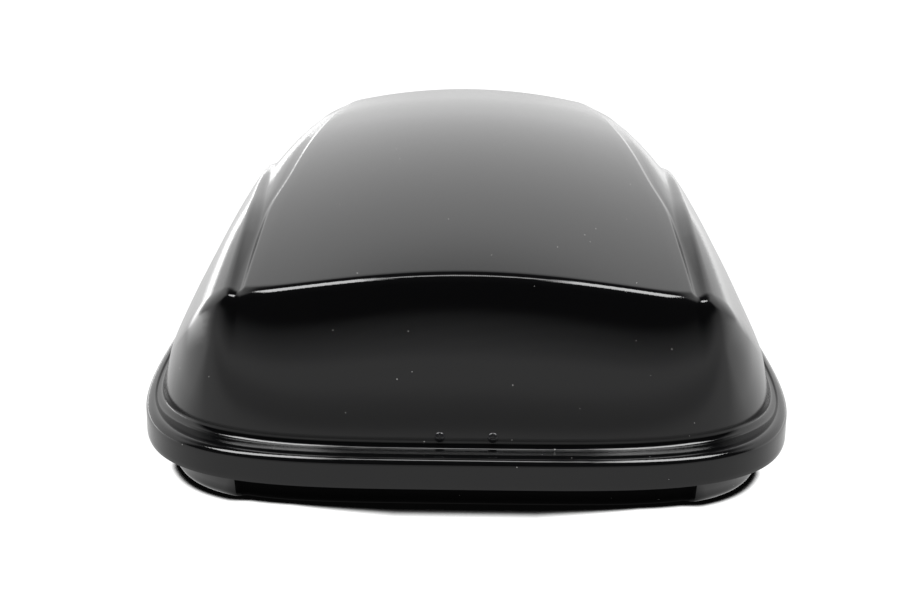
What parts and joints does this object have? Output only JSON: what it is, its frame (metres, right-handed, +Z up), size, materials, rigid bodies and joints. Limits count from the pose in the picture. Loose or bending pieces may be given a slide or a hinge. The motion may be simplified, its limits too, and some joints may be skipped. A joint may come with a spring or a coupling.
{
  "type": "roof box",
  "caption": "Long hard-shell roof box with a blunt rear end, a side-hinged embossed lid over a formed tray, gas struts and a key lock",
  "frame": {"origin": "on the ground under the middle of the closed box", "axes": "+Y forward along the box, +Z up, +X to the right, the side that opens"},
  "size_m": [0.8, 1.8, 0.3628],
  "materials": {
    "shell": "black formed sheet with a fine embossed grain and a satin gloss",
    "plastic": "moulded black plastic",
    "steel": "zinc-plated steel",
    "dark_steel": "black-coated steel"
  },
  "bodies": {
    "base": {"base_shell": "shell", "mounting_rail_left": "steel", "mounting_rail_right": "steel", "slot_cover_rear_left": "plastic", "slot_cover_rear_right": "plastic", "slot_cover_front_left": "plastic", "slot_cover_front_right": "plastic", "hinge_rear_base_leaf": "dark_steel", "hinge_middle_base_leaf": "dark_steel", "hinge_front_base_leaf": "dark_steel", "hinge_rear_pin": "steel", "hinge_middle_pin": "steel", "hinge_front_pin": "steel", "striker_rear": "dark_steel", "striker_middle": "dark_steel", "striker_front": "dark_steel", "guide_socket": "plastic", "strut_rear_base_bracket": "dark_steel", "strut_front_base_bracket": "dark_steel"},
    "lid": {"lid_shell": "shell", "hinge_rear_lid_leaf": "dark_steel", "hinge_middle_lid_leaf": "dark_steel", "hinge_front_lid_leaf": "dark_steel", "lock_housing": "plastic", "bar_guide_rear": "plastic", "bar_guide_front": "plastic", "strut_rear_lid_bracket": "dark_steel", "strut_front_lid_bracket": "dark_steel", "guide_tongue": "plastic", "guide_screw_left": "plastic", "guide_screw_right": "plastic"},
    "key": {"key_cylinder": "steel"},
    "bar": {"lock_bar": "steel"},
    "strut_rear_tube": {"strut_rear_cylinder": "dark_steel"},
    "strut_rear_piston": {"strut_rear_rod": "steel"},
    "strut_front_tube": {"strut_front_cylinder": "dark_steel"},
    "strut_front_piston": {"strut_front_rod": "steel"}
  },
  "joints": [
    {"name": "lid_hinge", "type": "hinge", "parent": "base", "child": "lid", "pos_m": [-0.393, 0, 0.052], "axis": [0, -1, 0], "range_deg": [0, 52]},
    {"name": "key_turn", "type": "hinge", "parent": "lid", "child": "key", "pos_m": [0.37, -0.1251, 0.138], "axis": [1, 0, 0], "range_deg": [0, 90]},
    {"name": "bar_slide", "type": "slide", "parent": "lid", "child": "bar", "axis": [0, 1, 0], "range_m": [0, 0.03535]},
    {"name": "strut_rear_swing", "type": "hinge", "parent": "base", "child": "strut_rear_tube", "pos_m": [-0.2, -0.5598, 0.022], "axis": [0, -1, 0], "range_deg": [0, 1.93]},
    {"name": "strut_rear_slide", "type": "slide", "parent": "strut_rear_tube", "child": "strut_rear_piston", "axis": [-0.8553, 0, 0.5181], "range_m": [0, 0.06899]},
    {"name": "strut_front_swing", "type": "hinge", "parent": "base", "child": "strut_front_tube", "pos_m": [-0.2, 0.4401, 0.022], "axis": [0, -1, 0], "range_deg": [0, 1.93]},
    {"name": "strut_front_slide", "type": "slide", "parent": "strut_front_tube", "child": "strut_front_piston", "axis": [-0.8553, 0, 0.5181], "range_m": [0, 0.06899]}
  ],
  "couplings": [
    {"joint": "key_turn", "follows": "bar_slide", "rad_per_m": 44.42},
    {"joint": "strut_rear_swing", "follows": "lid_hinge", "ratio": 0.037017},
    {"joint": "strut_rear_slide", "follows": "lid_hinge", "m_per_rad": 0.076008},
    {"joint": "strut_front_swing", "follows": "lid_hinge", "ratio": 0.037017},
    {"joint": "strut_front_slide", "follows": "lid_hinge", "m_per_rad": 0.076008}
  ]
}
